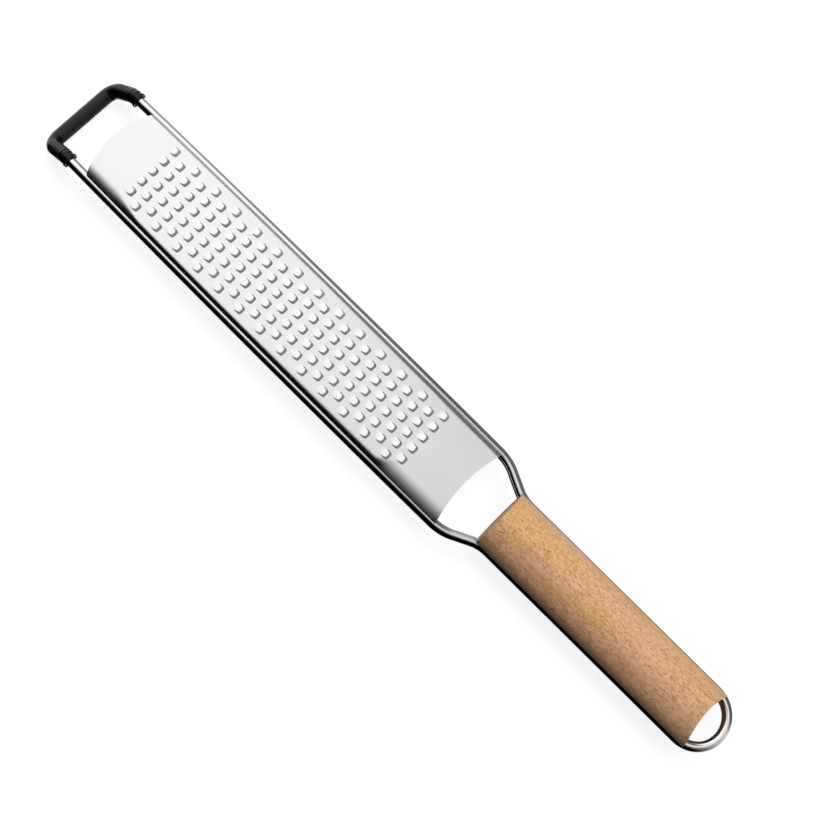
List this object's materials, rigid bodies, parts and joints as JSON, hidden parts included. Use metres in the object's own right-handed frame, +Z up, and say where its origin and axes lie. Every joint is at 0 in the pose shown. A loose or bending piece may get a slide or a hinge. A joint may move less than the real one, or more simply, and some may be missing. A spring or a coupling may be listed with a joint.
{
  "type": "coarse grater",
  "caption": "Long hand grater: a coarse toothed steel blade on a bent wire frame, with a rubber foot bar, a round beech handle and a hanging loop.",
  "frame": {"origin": "middle of the base: the centre, seen from above, of the whole grater, at the height of the surface that its foot and its handle rest on", "axes": "+Y runs along the grater from the handle to the foot, +Z is up and out of the toothed face of the blade, and +X runs across the blade"},
  "size_m": [0.041, 0.3362, 0.0256],
  "materials": {
    "polished_wire": "polished stainless steel wire",
    "blade_steel": "satin stainless steel sheet",
    "foot_rubber": "black rubber with a soft sheen",
    "beech": "oiled beech with short dark flecks"
  },
  "bodies": {
    "root": {"wire_frame": "polished_wire", "grater_blade": "blade_steel", "foot_sleeve": "foot_rubber", "beech_handle": "beech"}
  },
  "joints": []
}
